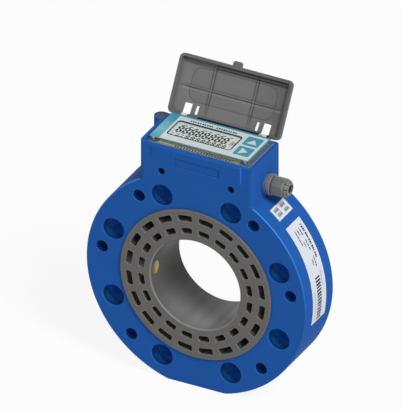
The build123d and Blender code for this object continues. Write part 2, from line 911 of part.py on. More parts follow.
def lid_ribs():
    # Two ribs along the lid and one across, all inside its outline
    low = lid_rim_z + lid_rib_depth
    high = lid_rim_z + lid_height
    half = lid_rib_thickness / 2
    ribs = block(-lid_width / 2, lid_width / 2, lid_middle_y - half, lid_middle_y + half, low, high)
    for x in (-lid_rib_x, lid_rib_x):
        ribs += block(x - half, x + half, lid_front, lid_rear, low, high)
    return ribs & lid_outside()


def finger_tab():
    half = tab_width / 2
    inner_y = lid_front + lid_wall / 2
    outer_y = lid_front - tab_reach
    points = [(-half, inner_y), (-half, outer_y + tab_corner), (-half + tab_corner, outer_y)]
    points += [(half - tab_corner, outer_y), (half, outer_y + tab_corner), (half, inner_y)]
    outline = make_face(Polyline(points, close=True))
    return Pos(0, 0, lid_rim_z) * extrude(outline, amount=tab_thickness)


def lid_hinge_half(side):
    # Knuckle on the rear wall with a moulded pin that snaps into the cover's ear
    outer_x = ear_inner_x - ear_side_gap
    knuckle = rod_x(knuckle_radius, outer_x - knuckle_width, outer_x, hinge_y, hinge_z)
    knuckle += rod_x(hinge_pin_radius, outer_x - past, outer_x + hinge_pin_length, hinge_y, hinge_z)
    return knuckle if side > 0 else mirror(knuckle, about=Plane.YZ)


def lid_cut_outs():
    # Openings for the ears and the slits beside the knuckles
    low = lid_rim_z - past
    top = lid_rim_z + lid_height + past
    gap_inner = ear_inner_x - ear_side_gap
    gap_outer = ear_inner_x + ear_width + ear_outer_gap
    slit_outer = gap_inner - knuckle_width
    slit_rear = lid_rear - slit_setback
    cuts = Part()
    for side in (-1, 1):
        gap = block(gap_inner, gap_outer, lid_rear - ear_slot_length, lid_rear + past, low, top)
        slit = block(slit_outer - slit_width, slit_outer, slit_rear - slit_length, slit_rear, low, top)
        pair = gap + slit
        cuts += pair if side > 0 else mirror(pair, about=Plane.YZ)
    return cuts


def lid_shut():
    shell = lid_outside() - lid_hollow() + lid_ribs() + finger_tab()
    shell -= lid_cut_outs()
    shell += lid_hinge_half(-1)
    shell += lid_hinge_half(1)
    return shell


def lid():
    hinge = Pos(0, hinge_y, hinge_z)
    return hinge * Rot(-lid_open_angle, 0, 0) * Pos(0, -hinge_y, -hinge_z) * lid_shut()


# Cable gland

def gland_washer():
    end = wall_pad_x + washer_thickness
    ring = rod_x(collar_radius - washer_inset, wall_pad_x, end, gland_y, gland_height)
    return ring - rod_x(gland_thread_radius + gland_thread_fit, wall_pad_x, end, gland_y, gland_height)


def collar_start():
    return wall_pad_x + washer_thickness


def nut_start():
    return collar_start() + collar_length + nut_gap


def gland_body():
    # Threaded stem, round collar and inner thread under the nut
    start = collar_start()
    end = start + collar_length
    tip = nut_start() + nut_hex_length - nut_end_room
    seat = start + seal_seat_depth
    c = collar_chamfer
    outline = [(wall_pad_x - gland_thread_length, stem_bore_radius)]
    outline += [(wall_pad_x - gland_thread_length, gland_thread_radius), (start, gland_thread_radius)]
    outline += [(start, collar_radius - c), (start + c, collar_radius), (end - c, collar_radius)]
    outline += [(end, collar_radius - c), (end, inner_thread_radius), (tip, inner_thread_radius)]
    outline += [(tip, seal_sleeve_radius + seal_sleeve_fit)]
    outline += [(seat, seal_sleeve_radius + seal_sleeve_fit), (seat, stem_bore_radius)]
    return turned_x(outline, gland_y, gland_height)


def gland_seal():
    # Rubber sleeve that grips the cable, empty here
    start = collar_start() + seal_seat_depth
    end = nut_start() + nut_hex_length + nut_fingers_length - nut_wall - seal_end_gap
    sleeve = rod_x(seal_sleeve_radius, start, end, gland_y, gland_height)
    return sleeve - rod_x(cable_radius, start, end, gland_y, gland_height)


def gland_nut():
    # Hexagon below, ring of fingers above
    start = nut_start()
    hex_end = start + nut_hex_length
    end = hex_end + nut_fingers_length
    corner_radius = nut_flats / 2 / cos(radians(30))
    hexagon = Plane((start, gland_y, gland_height), x_dir=(0, 0, 1), z_dir=(1, 0, 0))
    prism = extrude(hexagon * RegularPolygon(corner_radius, 6), amount=nut_hex_length)
    bevel = corner_radius - nut_flats / 2
    drum = [(start, 0), (start, corner_radius - bevel / 2), (start + bevel / 2, corner_radius)]
    drum += [(hex_end - bevel, corner_radius), (hex_end, nut_flats / 2), (hex_end, 0)]
    nut = prism & turned_x(drum, gland_y, gland_height)
    shoulder = hex_end + nut_fingers_length * nut_neck_share
    rounding = nut_nose_rounding
    dome = [(hex_end - past, 0), (hex_end - past, nut_neck_radius), (shoulder, nut_neck_radius)]
    dome += [(end - rounding, nut_nose_radius + rounding / 2), (end, nut_nose_radius - rounding / 2)]
    dome += [(end, 0)]
    nut += turned_x(dome, gland_y, gland_height)
    thread = inner_thread_radius + nut_thread_fit
    mouth = cable_radius + nut_mouth_clearance
    inside = [(start - past, 0), (start - past, thread), (hex_end, thread)]
    inside += [(end - nut_wall, seal_sleeve_radius + seal_sleeve_fit), (end - nut_wall, mouth)]
    inside += [(end + past, mouth), (end + past, 0)]
    nut -= turned_x(inside, gland_y, gland_height)
    return nut - gland_nut_slits(hex_end + nut_slit_start, end)


def gland_nut_slits(start, end):
    # Slits that turn the end of the nut into fingers
    slits = Part()
    reach = nut_neck_radius + past
    inner = nut_nose_radius - nut_slit_depth
    half = nut_slit_width / 2
    for index in range(nut_slit_count):
        angle = 360 / nut_slit_count * index
        slit = block(start, end + past, -half, half, inner, reach)
        slits += Pos(0, gland_y, gland_height) * Rot(angle, 0, 0) * slit
    return slits


# Foil labels

def rim_label(start_angle, end_angle):
    # A patch of foil that follows the rim
    low = body_radius + label_seat_gap
    front = front_y + label_setback
    back = front + label_width
    points = [(low, front), (low + label_thickness, front), (low + label_thickness, back), (low, back)]
    profile = make_face(Polyline([(radius, y, 0) for radius, y in points], close=True))
    patch = revolve(profile, Axis.Y, revolution_arc=end_angle - start_angle)
    return Rot(0, -end_angle, 0) * patch


def pieces():
    # Every sub-part by its node name
    made = {
        "meter_body": meter_body(),
        "side_port_plug": port_plug(),
        "flow_insert": flow_insert(),
        "module_gasket": gasket_ring(housing_top - gasket_depth, housing_top),
        "module_frame": module_frame(),
        "circuit_board": circuit_board(),
        "board_chip": board_chip(),
        "header_pins": header_pins(),
        "display_spacer": display_spacer(),
        "display_glass": display_glass(),
        "module_cover": module_cover(),
        "cover_screws": cover_screws(),
        "label_film": label_film(),
        "silver_field": silver_field(),
        "window_outline": window_outline(),
        "up_key": key_field(upper_key_back - key_length, 0),
        "up_arrow": key_arrow(upper_key_back - key_length, 0),
        "next_key": key_field(lower_key_front, -90),
        "next_arrow": key_arrow(lower_key_front, -90),
        "optical_lights": optical_lights(),
        "power_cell": power_cell(),
        "pulse_capacitor": pulse_capacitor(),
        "cell_cradle": cell_cradle(),
        "lid": lid(),
        "gland_washer": gland_washer(),
        "gland_body": gland_body(),
        "gland_seal": gland_seal(),
        "gland_nut": gland_nut(),
        "rim_label_large": rim_label(large_label_start, large_label_end),
        "rim_label_small": rim_label(small_label_start, small_label_end),
    }
    transducer_pieces = {
        "window": transducer_window(),
        "seal": transducer_seal(),
        "crystal": transducer_crystal(),
        "capsule": transducer_capsule(),
        "retainer": transducer_retainer(),
    }
    for name, shape in transducer_pieces.items():
        made["front_transducer_" + name] = shape
        made["rear_transducer_" + name] = other_side(shape)
    return made


os.makedirs("parts", exist_ok=True)
for node, shape in pieces().items():
    export_step(shape, "parts/" + node + ".step")
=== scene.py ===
import bpy
import bmesh
import json
from math import cos, pi, radians, sin
from mathutils import Matrix, Vector


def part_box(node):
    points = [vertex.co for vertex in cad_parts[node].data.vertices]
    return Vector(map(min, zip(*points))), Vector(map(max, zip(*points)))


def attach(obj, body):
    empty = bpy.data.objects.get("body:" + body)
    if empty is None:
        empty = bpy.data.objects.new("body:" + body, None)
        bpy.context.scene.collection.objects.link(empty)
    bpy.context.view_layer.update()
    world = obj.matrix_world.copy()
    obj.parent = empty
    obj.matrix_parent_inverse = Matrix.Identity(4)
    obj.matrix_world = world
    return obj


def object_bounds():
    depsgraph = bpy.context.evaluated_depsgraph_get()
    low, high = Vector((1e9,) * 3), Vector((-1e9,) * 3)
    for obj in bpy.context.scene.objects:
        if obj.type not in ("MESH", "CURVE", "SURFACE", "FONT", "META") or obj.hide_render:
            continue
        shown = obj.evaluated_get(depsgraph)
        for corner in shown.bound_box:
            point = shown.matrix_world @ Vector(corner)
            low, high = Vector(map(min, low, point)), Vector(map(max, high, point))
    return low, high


# Ultrasonic flow meter: finishes, printed marks, studio light and camera.
# Blender works in metres. Finishes and outlines are written in millimetres from the middle of the bore,
# with x to the right, y to the rear and z up. Angles are in degrees.

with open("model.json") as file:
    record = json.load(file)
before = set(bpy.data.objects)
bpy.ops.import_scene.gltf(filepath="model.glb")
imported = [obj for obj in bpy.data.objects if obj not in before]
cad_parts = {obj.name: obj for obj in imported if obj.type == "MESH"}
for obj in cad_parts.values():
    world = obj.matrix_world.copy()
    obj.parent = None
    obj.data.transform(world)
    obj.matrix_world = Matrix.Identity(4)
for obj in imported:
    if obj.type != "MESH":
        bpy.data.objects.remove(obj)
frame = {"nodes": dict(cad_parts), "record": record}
cad_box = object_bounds()
cad = frame["nodes"]

MM = 0.001

# Photograph, taken without perspective
image_height = 412
pixels_per_metre = 1261
camera_azimuth = 27.51
camera_elevation = 31.12
shift_right = 3.57 * MM
shift_up = 62.07 * MM
camera_distance = 1.5

# White of the background: strength of the world on the object, and share of pure white in the seen floor
world_on_object = 0.35
white_in_floor = 0.9
floor_reach = 4.0  # metres

# How quickly the masks of painted crease shade and of edges reach their full strength
crease_contrast = 1.6
edge_contrast = 6.0

# Casting: its holes, the edge of its disc and the housing on top
casting_face = 23.7
hole_chamfer_ends = 23.05
hole_fade = 12.0
disc_holes = (67.6, 96.9)
disc_edge = (97.2, 98.2)
disc_edge_starts = 22.95
housing_holes = (88.0, 108.0)
housing_holes_reach = 46.0
housing_side = 50.9
housing_root = 83.6

# Fields cast on the housing front, with painted shade lines between them and a painted highlight at the right
# end
field_front = -22.9
divider_places = (21.0, -22.8)
divider_height = (102.5, 114.5)
field_end_place = 39.9
field_end_height = (103.8, 118.6)

# Landing of the clear cover on the casting, and what its slanted front edge shows of the board
landing_height = (118.0, 119.8)
landing_width = (-44.5, 46.8)
landing_depth = (-21.2, 21.6)
landing_pins_rear = -17.6
strip_reach = 36.7
strip_rear = -15.5
strip_foot = 117.0
strip_pins_rear = -17.0
pin_pitch = 2.54
pin_middle = 4.0
pin_row_width = (-22.0, 30.0)
hinge_ears_front = 21.6
board_line_pitch = 2.4
display_point_pitch = 0.6
film_pale_middle = -5.0
film_pale_reach = 17.0

# Flow insert
insert_face = 25.1
bore_wall = 40.4
bore_fade = 40.0
bore_mouth = (39.9, 41.2)
bore_mouth_rear = -24.2
slot_mouth = 23.4
slot_fade = 5.0
slot_ring_band = (45.0, 63.5)

# Cored slots of the insert: inner radius, outer radius and angle of each ring
slot_rings = ((46.0, 51.3, 11.5), (57.1, 62.6, 12.4))
slots_per_ring = 20
slot_corner_radius = 1.3
slot_corner_steps = 4
slot_corner_depth = 12.0
slot_corner_recess = 0.03

# Lid in its shut place: "across" runs over it to the rear, "up" rises through it
lid_opening = radians(120)
hinge_pin_y = 24.0
hinge_pin_z = 121.5
lid_rim = 120.2
lid_shade_left = 12.0
lid_shade_width = 36.0
lid_recess_height = (123.2, 125.6)
lid_recess_reach = (47.2, 21.4)
lid_recess_middle = 0.3
lid_panel_middle = -1.9
lid_panel_reach = (29.5, 5.8)
lid_panel_corner = 8.0
long_rib_place = 19.0
long_rib_half_width = 0.9
cross_rib_place = 1.3
under_cross_rib = (1.0, 3.4)
under_cross_rib_reach = 44.0
under_cross_rib_foot = 122.5
lid_step_place = -17.9
lid_step_lip = (-21.6, -19.9)
lid_step_shade = (-21.6, -17.0)
lid_step_width = (-18.2, 47.0)
hinge_side_front = 22.6
hinge_side_top = 120.3
hinge_side_width = (-23.0, 41.0)

# Cable gland
gland_axis_height = 95.3
gland_thread_radius = 7.0
gland_thread_pitch = 1.5

# Printed marks; a lean is a share of the height, the gap between strokes a share of their thickness
ink_lift = 0.02 * MM
label_ink_lift = 0.03 * MM
window_line = 0.9
digit_count = 8
digit_lean = 0.08
digit_gap = 0.3
large_digit_pitch = 5.75
small_digit_pitch = 4.6
sign_pitch = 5.9
unit_pitch = 4.2
end_stripe_count = 6
end_stripe_pitch = 0.9
end_stripe_lean = 0.2
heading_pitch = 2.1
code_stripe_count = 14
code_stripe_pitch = 1.62


class Signal:
    """A number that varies over a surface, written in plain arithmetic."""

    def __init__(self, nodes, socket):
        self.nodes = nodes
        self.socket = socket

    def math(self, operation, *others, clamp=False):
        return self.nodes.calculate(operation, self, *others, clamp=clamp)

    def __add__(self, other):
        return self.math("ADD", other)

    def __sub__(self, other):
        return self.math("SUBTRACT", other)

    def __mul__(self, other):
        return self.math("MULTIPLY", other)

    def __truediv__(self, other):
        return self.math("DIVIDE", other)

    def __rsub__(self, other):
        return self.nodes.calculate("SUBTRACT", other, self)

    __radd__ = __add__
    __rmul__ = __mul__

    def above(self, limit):
        return self.math("GREATER_THAN", limit)

    def below(self, limit):
        return self.math("LESS_THAN", limit)

    def within(self, low, high):
        return self.above(low) * self.below(high)

    def clipped(self):
        return self.math("ADD", 0.0, clamp=True)

    def size(self):
        return self.math("ABSOLUTE")

    def wave(self, pitch):
        """Swings between -1 and 1, once in that pitch."""
        return (self * (2 * pi / pitch)).math("SINE")

    def near(self, value, reach):
        """1 at a value, fading to 0 at that reach on both sides of it."""
        return (1 - (self - value).size() / reach).clipped()


class Nodes:
    """The nodes of a material or of the world."""

    def __init__(self, tree):
        self.tree = tree

    def put(self, socket, value):
        if isinstance(value, Signal):
            self.tree.links.new(value.socket, socket)
        else:
            socket.default_value = value

    def make(self, kind, settings=None, inputs=None, output=0):
        """One output of a new node, which gets its settings and then the values or links of its sockets."""
        node = self.tree.nodes.new(kind)
        for name, value in (settings or {}).items():
            setattr(node, name, value)
        for name, value in (inputs or {}).items():
            self.put(node.inputs[name], value)
        return Signal(self, node.outputs[output])

    def calculate(self, operation, *values, clamp=False):
        settings = {"operation": operation, "use_clamp": clamp}
        return self.make("ShaderNodeMath", settings, dict(enumerate(values)))

    def seen_directly(self):
        """1 for what the camera, a reflection or a clear piece shows, 0 for light on the object."""
        rays = ("Is Camera Ray", "Is Glossy Ray", "Is Transmission Ray")
        camera_ray, glossy_ray, clear_ray = [self.make("ShaderNodeLightPath", output=ray) for ray in rays]
        return camera_ray.math("MAXIMUM", glossy_ray).math("MAXIMUM", clear_ray)


class Paint(Nodes):
    """One surface finish: a Principled shader and the nodes that feed it."""

    def __init__(self, name, colour, roughness, metallic=0.0, **constants):
        self.material = bpy.data.materials.new(name)
        self.material.use_nodes = True
        super().__init__(self.material.node_tree)
        self.shader = self.tree.nodes["Principled BSDF"]
        self.colour = colour
        self.cover((*colour, 1.0))
        self.feed("Roughness", roughness)
        self.feed("Metallic", metallic)
        for socket, value in constants.items():
            self.feed(socket.replace("_", " "), value)

    def feed(self, socket, value):
        self.put(self.shader.inputs[socket], value)

    def cover(self, surface):
        """Gives the finish its base colour, and keeps it for a finish that adds to it."""
        self.surface = surface
        self.feed("Base Color", surface)

    def place(self):
        return self.make("ShaderNodeTexCoord", output="Object")

    def normal(self):
        return self.make("ShaderNodeNewGeometry", output="Normal")

    def part_of(self, vector, axis):
        return self.make("ShaderNodeSeparateXYZ", None, {0: vector}, axis)

    def millimetres(self, axes="XYZ"):
        """The point's coordinates along those axes, in millimetres."""
        place = self.place()
        return [self.part_of(place, axis) * (1 / MM) for axis in axes]

    def noise(self, grain, detail=2.0):
        """Cloudy noise with grains of that many millimetres."""
        inputs = {"Vector": self.place(), "Scale": 1 / (grain * MM), "Detail": detail, "Roughness": 0.5}
        return self.make("ShaderNodeTexNoise", {"noise_dimensions": "3D"}, inputs)

    def streaks(self, grain, stretch):
        """Cloudy noise whose grains are drawn out along the bore, for painted reflections in it."""
        x, y, z = self.millimetres()
        drawn = {0: x / grain, 1: y / (grain * stretch), 2: z / grain}
        inputs = {"Vector": self.make("ShaderNodeCombineXYZ", None, drawn), "Scale": 1.0, "Detail": 1.0}
        return self.make("ShaderNodeTexNoise", {"noise_dimensions": "3D"}, inputs)

    def mix(self, factor, first, second):
        """The first colour where the factor is 0, the second where it is 1."""
        first, second = [colour if isinstance(colour, Signal) else (*colour, 1.0) for colour in (first, second)]
        return self.make("ShaderNodeMix", {"data_type": "RGBA"}, {0: factor, 6: first, 7: second}, 2)

    def shade(self, signal, dark, light):
        """The finish's own colour, darker where a signal is 0 and lighter where it is 1."""
        first, second = [[channel * share for channel in self.colour] for share in (dark, light)]
        return self.mix(signal, first, second)

    def bump(self, height, depth):
        """Relief of that many millimetres."""
        inputs = {"Strength": 1.0, "Distance": depth * MM, "Height": height}
        self.feed("Normal", self.make("ShaderNodeBump", None, inputs))

    def crease_shade(self, reach):
        """1 deep in corners and grooves of that many millimetres, 0 in the open: the mask of painted shade in
        creases.
        """
        inputs = {"Distance": reach * MM}
        open_sky = self.make("ShaderNodeAmbientOcclusion", {"samples": 8}, inputs, "AO")
        return ((1 - open_sky) * crease_contrast).clipped()

    def edges(self, width):
        """1 along edges and corners within that many millimetres, 0 on flat stretches."""
        rounded = self.make("ShaderNodeBevel", {"samples": 6}, {"Radius": width * MM})
        inputs = {0: rounded, 1: self.normal()}
        match = self.make("ShaderNodeVectorMath", {"operation": "DOT_PRODUCT"}, inputs, "Value")
        return ((1 - match) * edge_contrast).clipped()


def from_axis(across, up):
    """Distance from an axis, of which two coordinates are given."""
    return (across * across + up * up).math("SQRT")


# Finishes

def powder_coat():
    """Blue paint of the casting, with painted shade in creases, near hole mouths and in lines on the front,
    painted light deep in holes, painted highlights on edges, and the board's olive painted where the clear
    cover lands.
    """
    paint = Paint("blue_powder_coat", (0.017, 0.096, 0.365), 0.38, IOR=1.06, Specular_IOR_Level=0.15)
    shade_blue = (0.008, 0.045, 0.18)
    x, y, z = paint.millimetres()
    radius = from_axis(x, z)
    blue = paint.shade(paint.noise(26.0, 3.0), 0.95, 1.05)
    # Painted shade in creases and corners.
    blue = paint.mix(paint.crease_shade(3.0) * 0.3, blue, shade_blue)
    in_housing = z.within(*housing_holes) * x.size().below(housing_holes_reach)
    holes = y.size().below(hole_chamfer_ends) * (radius.within(*disc_holes) + in_housing).clipped()
    # Hole walls get painted shade near their mouths and painted light deeper in, where little light reaches.
    depth = ((casting_face - y.size()) / hole_fade).clipped()
    blue = paint.mix(holes, blue, paint.mix(depth * depth, (0.001, 0.024, 0.12), (0.05, 0.3, 0.82)))
    disc = (z.below(housing_root) + x.size().above(housing_side)).clipped()
    disc_rim = radius.within(*disc_edge) * y.size().above(disc_edge_starts) * disc
    # Painted highlight along edges and on the disc rim's front chamfer, fading towards the bottom.
    lit_from_above = (z * 0.012 + 0.05).clipped()
    edge_highlight = (paint.edges(0.6) * 0.3 + disc_rim * lit_from_above * 0.7).clipped()
    blue = paint.mix(edge_highlight, blue, (0.06, 0.3, 0.8))
    front = y.below(field_front)
    # Painted shade lines where the front fields meet.
    right, left = [x.near(place, 0.5) for place in divider_places]
    dividers = (right + left) * z.within(*divider_height) * front
    blue = paint.mix(dividers * 0.35, blue, shade_blue)
    # Painted highlight along the right end of the front field.
    field_end = x.near(field_end_place, 0.7) * z.within(*field_end_height) * front
    blue = paint.mix(field_end * 0.7, blue, (0.04, 0.27, 0.85))
    landing = z.within(*landing_height) * x.within(*landing_width) * y.within(*landing_depth)
    olive = paint.mix(paint.noise(5.0), (0.22, 0.23, 0.11), (0.32, 0.29, 0.12))
    olive = paint.mix(pin_row(x) * y.below(landing_pins_rear), olive, (0.03, 0.03, 0.015))
    under_cover = paint.mix(x.size().below(strip_reach), (0.08, 0.11, 0.15), olive)
    paint.cover(paint.mix(landing, blue, under_cover))
    peel = paint.noise(1.1)
    paint.feed("Roughness", peel * 0.12 + 0.34)
    paint.bump(peel, 0.03)
    return paint


def pin_row(x):
    """1 on the dark stripes of the row of contact pins."""
    return (x - pin_middle).wave(pin_pitch).above(0.1) * x.within(*pin_row_width)


def strip_front(paint, surface):
    """Paints the olive strip with its pins, as the clear cover's slanted front edge shows the board, onto what
    stands behind that edge; the olive is painted light, brighter than the board's own, against the shade under
    the film.
    """
    x, y, z = paint.millimetres()
    strip = y.below(strip_rear) * x.size().below(strip_reach) * z.above(strip_foot)
    olive = paint.mix(paint.noise(5.0), (0.62, 0.6, 0.28), (0.8, 0.74, 0.34))
    pins = pin_row(x) * y.below(strip_pins_rear)
    return paint.mix(strip, surface, paint.mix(pins, olive, (0.12, 0.12, 0.07)))


def moulded(name, colour, roughness, grain, depth, **constants):
    """Moulded plastic: a little cloudy in tone, with painted shade in its corners, and the fine grain of the
    tool.
    """
    paint = Paint(name, colour, roughness, **constants)
    tone = paint.noise(grain * 14, 3.0)
    texture = paint.noise(grain)
    plain = paint.shade(tone * 0.6 + texture * 0.4, 0.9, 1.1)
    # Painted shade in corners and creases.
    paint.cover(paint.mix(paint.crease_shade(2.5) * 0.5, plain, [channel * 0.35 for channel in colour]))
    paint.feed("Roughness", texture * 0.16 + (roughness - 0.08))
    if depth:
        paint.bump(texture, depth)
    return paint


def inner_plastic():
    """Black moulding of the frame under the board."""
    paint = moulded("inner_black_plastic", (0.05, 0.05, 0.055), 0.5, 0.8, 0.03)
    paint.cover(strip_front(paint, paint.surface))
    return paint


def insert_plastic():
    """Grey moulding of the flow insert, with painted shade and light in its slots, painted highlights on its
    edges, and a bore painted lighter to the lower right with darker streaks of painted reflection.
    """
    paint = moulded("flow_insert_plastic", (0.13, 0.126, 0.118), 0.42, 0.6, 0, Specular_IOR_Level=0.15)
    x, y, z = paint.millimetres()
    radius = from_axis(x, z)
    bore = radius.below(bore_wall)
    # The bore wall is painted darker at the upper left and lighter at the lower right, most towards the rear:
    # painted shade and light.
    low = (x * 0.006 - z * 0.021 - 0.1).clipped()
    inward = ((y + casting_face) / bore_fade).clipped()
    # Darker streaks along the bore are painted reflections.
    streaks = (paint.streaks(14.0, stretch=12) * 4.0 - 1.7).clipped()
    wall = paint.mix(low, (0.078, 0.075, 0.072), (0.185, 0.19, 0.195))
    wall = paint.mix(inward * low * low * 0.8, wall, (0.6, 0.6, 0.6))
    wall = paint.mix(streaks * 0.45, wall, (0.06, 0.062, 0.064))
    # Slot walls are painted dark near their mouths and lighter deeper in: painted shade and light.
    slots = y.size().below(slot_mouth) * radius.within(*slot_ring_band)
    deep = ((slot_mouth - y.size()) / slot_fade).clipped()
    surface = paint.mix(slots, paint.surface, paint.mix(deep, (0.045, 0.043, 0.04), (0.17, 0.165, 0.15)))
    surface = paint.mix(bore, surface, wall)
    # Painted highlights on the edges outside the slots and on the lower left of the bore mouth.
    lower_left = (x * -0.7 - z).above(-10.0)
    mouth = radius.within(*bore_mouth) * lower_left * y.below(bore_mouth_rear)
    edges = paint.edges(0.5) * 0.75 * (1 - slots)
    paint.cover(paint.mix((edges + mouth * 0.4).clipped(), surface, (0.3, 0.298, 0.29)))
    paint.feed("Roughness", paint.noise(12.0) * 0.1 + 0.4 - bore * 0.05)
    return paint


def lid_plastic():
    """Grey moulding of the lid, darker on the face of its rim, with painted shade towards the right, on the
    inner wall by the hinge and in shadow lines inside its edges and round its panel, and painted light under
    the cross rib.
    """
    paint = moulded("lid_plastic", (0.155, 0.155, 0.154), 0.5, 0.8, 0.03, Specular_IOR_Level=0.25)
    x, y, z = paint.millimetres()
    from_pin_y = y - hinge_pin_y
    from_pin_z = z - hinge_pin_z
    across = from_pin_y * cos(lid_opening) - from_pin_z * sin(lid_opening) + hinge_pin_y
    up = from_pin_y * sin(lid_opening) + from_pin_z * cos(lid_opening) + hinge_pin_z
    # Painted shade, deeper towards the right.
    right = ((x - lid_shade_left) / lid_shade_width).clipped()
    surface = paint.mix(right * 0.45, paint.surface, (0.06, 0.06, 0.06))
    surface = paint.mix(up.below(lid_rim) * 0.35, surface, (0.05, 0.05, 0.05))
    # Painted light below the cross rib, against the rib's cast shadow.
    under_rib = across.within(*under_cross_rib) * x.size().below(under_cross_rib_reach)
    under_rib = under_rib * up.above(under_cross_rib_foot)
    surface = paint.mix(under_rib * 0.28, surface, (0.3, 0.3, 0.3))
    surface = paint.mix(recess_lines(x, across, up), surface, (0.02, 0.02, 0.022))
    # Painted shadow on the inner wall by the hinge.
    hinge_side = across.above(hinge_side_front) * up.below(hinge_side_top) * x.within(*hinge_side_width)
    paint.cover(paint.mix(hinge_side, surface, (0.003, 0.003, 0.004)))
    return paint


def recess_lines(x, across, up):
    """Shadow lines in the lid's recess: round the panel, by the ribs and along the step of its free edge."""
    reach_x, reach_across = lid_recess_reach
    recess = up.within(*lid_recess_height) * x.size().below(reach_x)
    recess = recess * (across - lid_recess_middle).size().below(reach_across)
    panel_x, panel_across = lid_panel_reach
    past_x = (x.size() - panel_x).math("MAXIMUM", 0.0)
    past_across = ((across - lid_panel_middle).size() - panel_across).math("MAXIMUM", 0.0)
    panel = from_axis(past_x, past_across).near(lid_panel_corner, 0.5)
    long_ribs = (x.size() - long_rib_place).size().near(long_rib_half_width, 0.35)
    ribs = long_ribs * 0.5 + across.near(cross_rib_place, 0.5) * 0.4
    step = across.near(lid_step_place, 0.8) * 0.8 + across.within(*lid_step_lip) * 0.6
    step = step * x.within(*lid_step_width) + across.within(*lid_step_shade) * 0.35
    return ((panel * 0.6 + ribs + step) * recess).clipped()


def clear_plastic():
    """Clear plastic that shows by its slopes and its milky hinge ears, with painted highlights that make its
    edges lighter and less clear.
    """
    paint = Paint("clear_cover_plastic", (0.34, 0.44, 0.52), 0.1, Alpha=0.1, IOR=1.5)
    [y] = paint.millimetres("Y")
    haze = paint.noise(9.0)
    slopes = paint.part_of(paint.normal(), "Z").below(0.9)
    ears = y.above(hinge_ears_front)
    # Painted highlights on the edges.
    edges = paint.edges(0.4)
    paint.cover(paint.mix((ears + edges).clipped(), paint.colour, (0.75, 0.76, 0.8)))
    paint.feed("Roughness", haze * 0.08 + 0.06)
    paint.feed("Alpha", edges * 0.42 + slopes * 0.08 + haze * 0.02 + ears * 0.4 + 0.015)
    return paint


def printed(name, colour, roughness=0.4, shine=0.3):
    """Printing ink on film: even, with a faint screen grain."""
    paint = Paint(name, colour, roughness, Specular_IOR_Level=shine)
    grain = paint.noise(0.5, 1.0)
    cloud = paint.noise(12.0)
    paint.cover(paint.shade(grain * 0.5 + cloud * 0.5, 0.95, 1.05))
    paint.feed("Roughness", grain * 0.1 + (roughness - 0.05))
    return paint


def teal_film():
    """Teal print of the cover's film, paler towards the left in its front half."""
    paint = printed("teal_film_ink", (0.05, 0.3, 0.4))
    x, y = paint.millimetres("XY")
    to_the_left = (x * -0.03 - 0.5 + paint.noise(0.5, 1.0) * 0.1).clipped()
    pale = y.near(film_pale_middle, film_pale_reach) * to_the_left
    paint.cover(paint.mix(pale, (0.045, 0.28, 0.38), (0.19, 0.47, 0.55)))
    return paint


def display_panel():
    """Reflective display glass with its fine lines of picture points."""
    paint = Paint("display_panel_glass", (0.74, 0.8, 0.76), 0.35)
    columns, rows = [along.wave(display_point_pitch) for along in paint.millimetres("XY")]
    weave = columns * rows * 0.25 + 0.5
    cloud = paint.noise(14.0)
    paint.cover(paint.shade(weave * 0.4 + cloud * 0.6, 0.9, 1.12))
    return paint


def board():
    """Lacquered circuit board with copper lines under the lacquer."""
    paint = Paint("board_lacquer", (0.3, 0.3, 0.09), 0.3)
    x, y = paint.millimetres("XY")
    lines = (x * 0.7 + y * 0.7).wave(board_line_pitch).above(0.55)
    patch = paint.noise(7.0, 1.0).above(0.52)
    surface = paint.mix(lines * patch, (0.3, 0.29, 0.1), (0.42, 0.38, 0.16))
    paint.cover(strip_front(paint, surface))
    return paint


def turned_metal(name, colour, roughness, pitch, axis):
    """Turned metal with fine tool rings along one axis."""
    paint = Paint(name, colour, roughness, metallic=1.0)
    [along] = paint.millimetres(axis)
    grain = paint.noise(0.4)
    paint.cover(paint.shade(grain, 0.88, 1.1))
    paint.feed("Roughness", grain * 0.2 + (roughness - 0.1))
    paint.bump(along.wave(pitch) * 0.5 + 0.5, 0.02)
    return paint


def gland_collar():
    """Polyamide of the gland, with the thread that shows between collar and nut."""
    paint = Paint("gland_body_polyamide", (0.15, 0.143, 0.18), 0.5)
    x, y, z = paint.millimetres()
    on_thread = from_axis(y, z - gland_axis_height).below(gland_thread_radius)
    thread = (x.wave(gland_thread_pitch) * 0.5 + 0.5) * on_thread
    grain = paint.noise(0.7)
    paint.cover(paint.shade(grain, 0.92, 1.08))
    paint.feed("Roughness", grain * 0.12 + 0.44)
    paint.bump(thread + grain * 0.05, 0.45)
    return paint


def gland_nut():
    """Polyamide of the nut, with painted highlights on its edges."""
    paint = moulded("gland_nut_polyamide", (0.122, 0.128, 0.117), 0.35, 0.7, 0.02)
    # Painted highlights on the edges.
    paint.cover(paint.mix(paint.edges(0.35) * 0.7, paint.surface, (0.5, 0.51, 0.49)))
    return paint


def rubber():
    """Black rubber of the seals, with the olive strip where the clear cover's edge shows them."""
    paint = Paint("black_rubber", (0.02, 0.02, 0.021), 0.75)
    grain = paint.noise(0.5, 3.0)
    paint.cover(strip_front(paint, paint.shade(grain, 0.8, 1.3)))
    paint.feed("Roughness", grain * 0.2 + 0.65)
    paint.bump(grain, 0.03)
    return paint


